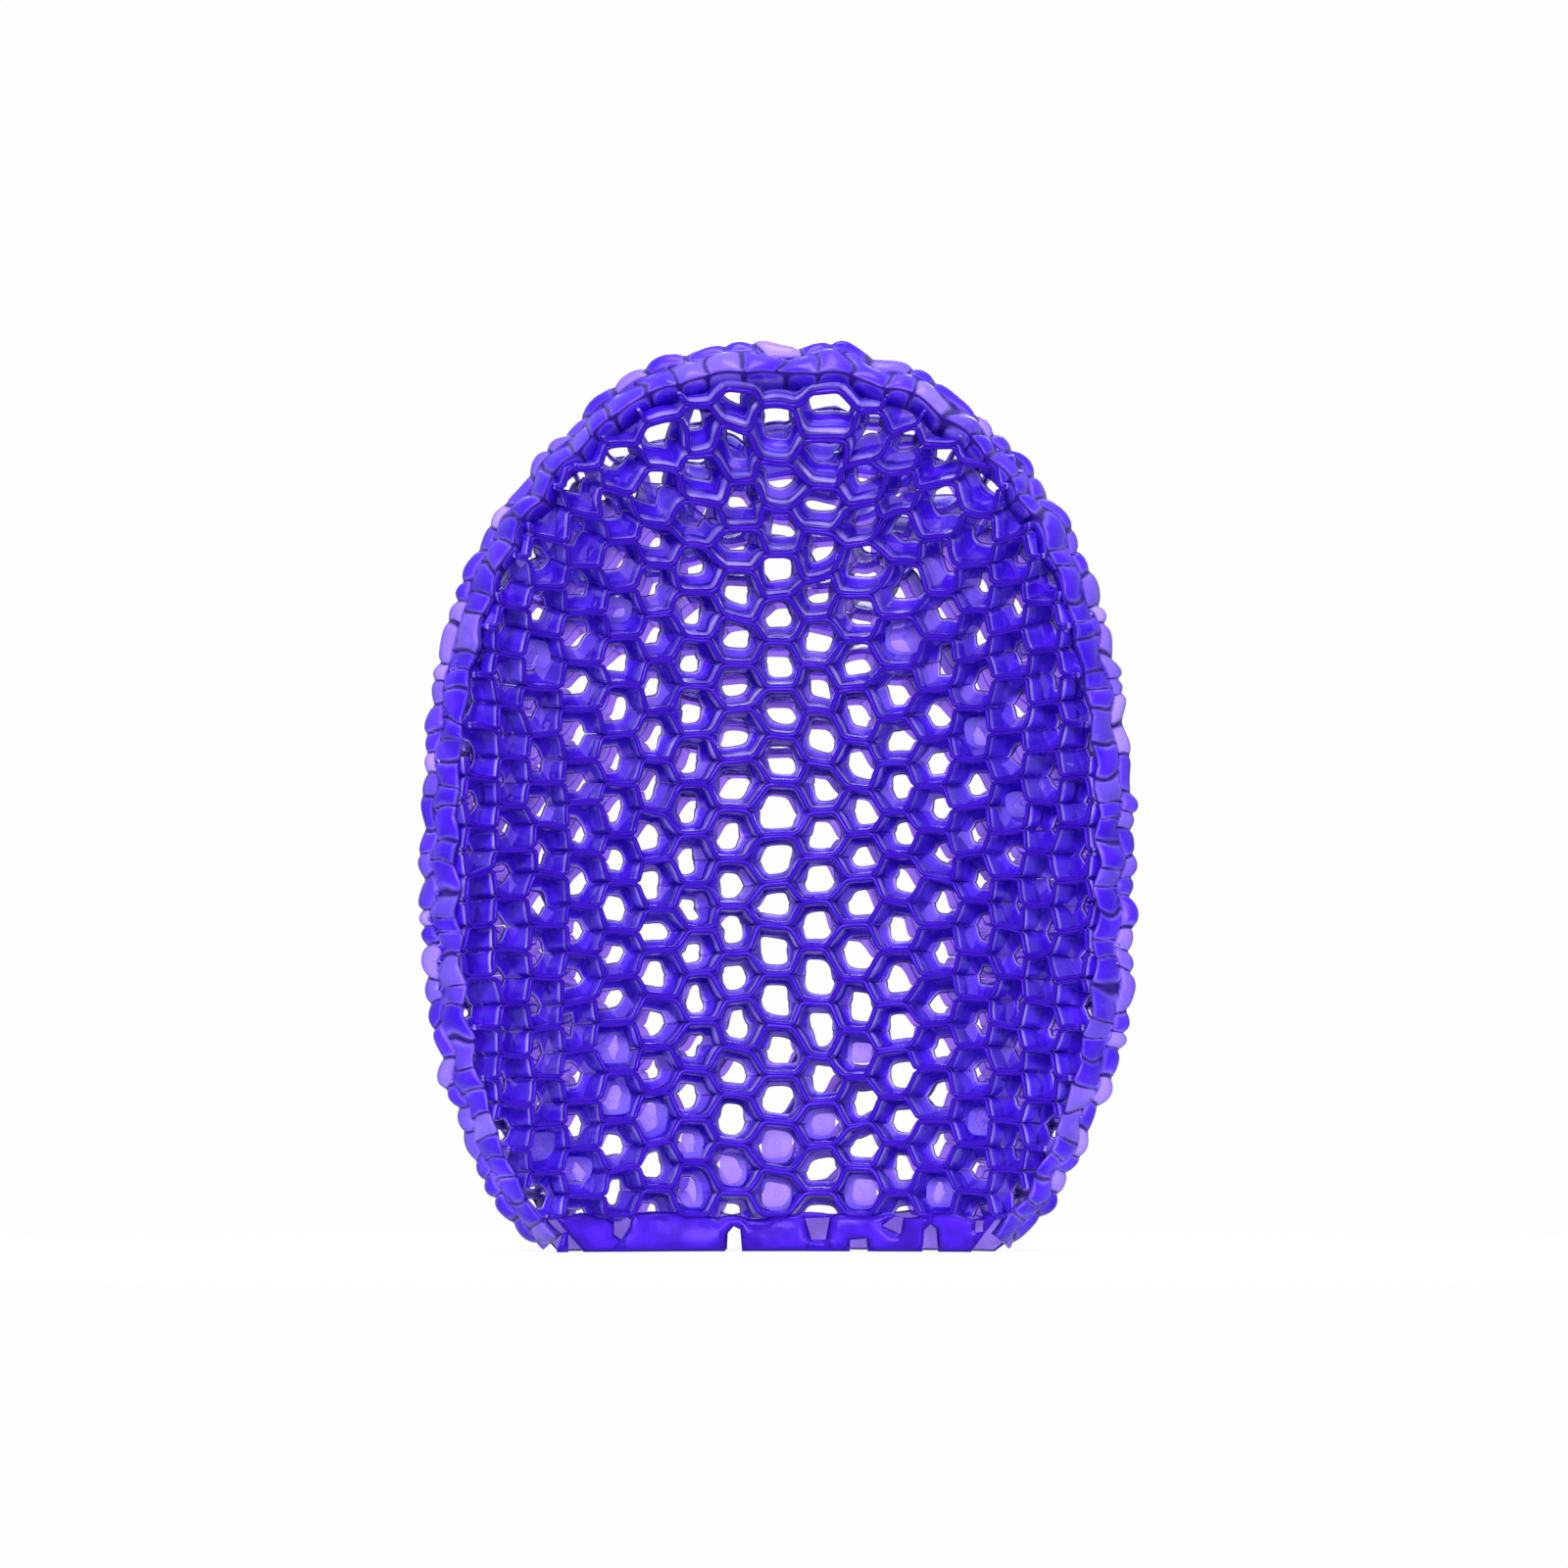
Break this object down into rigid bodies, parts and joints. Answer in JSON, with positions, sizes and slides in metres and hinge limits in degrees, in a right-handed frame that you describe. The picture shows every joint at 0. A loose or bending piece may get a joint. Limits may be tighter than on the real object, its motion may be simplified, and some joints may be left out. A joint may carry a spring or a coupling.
{
  "type": "mesh cleaning mitt",
  "caption": "Cupped hand mitt of bonded film honeycomb: palm and back panels fused at the rim, open at the wrist.",
  "frame": {"origin": "centre of the bounding box at the mouth, where the two hems stand", "axes": "+Z from the mouth to the finger end, +X across the width, -Y to the cupped palm side"},
  "size_m": [0.1396, 0.0608, 0.1778],
  "materials": {
    "palm_film": "glossy translucent polyurethane elastomer film, violet blue",
    "back_film": "glossy translucent polyurethane elastomer film, violet blue",
    "weld_film": "heat pressed polyurethane elastomer film, smooth, darker violet blue"
  },
  "bodies": {
    "root": {"back_cell_row_01": "back_film", "back_cell_row_02": "back_film", "back_cell_row_03": "back_film", "back_cell_row_04": "back_film", "back_cell_row_05": "back_film", "back_cell_row_06": "back_film", "back_cell_row_07": "back_film", "back_cell_row_08": "back_film", "back_cell_row_09": "back_film", "back_cell_row_10": "back_film", "back_cell_row_11": "back_film", "back_cell_row_12": "back_film", "back_cell_row_13": "back_film", "back_cell_row_14": "back_film", "back_cell_row_15": "back_film", "back_cell_row_16": "back_film", "back_cell_row_17": "back_film", "back_cell_row_18": "back_film", "back_hem": "weld_film", "palm_cell_row_01": "palm_film", "palm_cell_row_02": "palm_film", "palm_cell_row_03": "palm_film", "palm_cell_row_04": "palm_film", "palm_cell_row_05": "palm_film", "palm_cell_row_06": "palm_film", "palm_cell_row_07": "palm_film", "palm_cell_row_08": "palm_film", "palm_cell_row_09": "palm_film", "palm_cell_row_10": "palm_film", "palm_cell_row_11": "palm_film", "palm_cell_row_12": "palm_film", "palm_cell_row_13": "palm_film", "palm_cell_row_14": "palm_film", "palm_cell_row_15": "palm_film", "palm_cell_row_16": "palm_film", "palm_cell_row_17": "palm_film", "palm_cell_row_18": "palm_film", "palm_hem": "weld_film", "rim_weld_bead": "weld_film"}
  },
  "joints": []
}
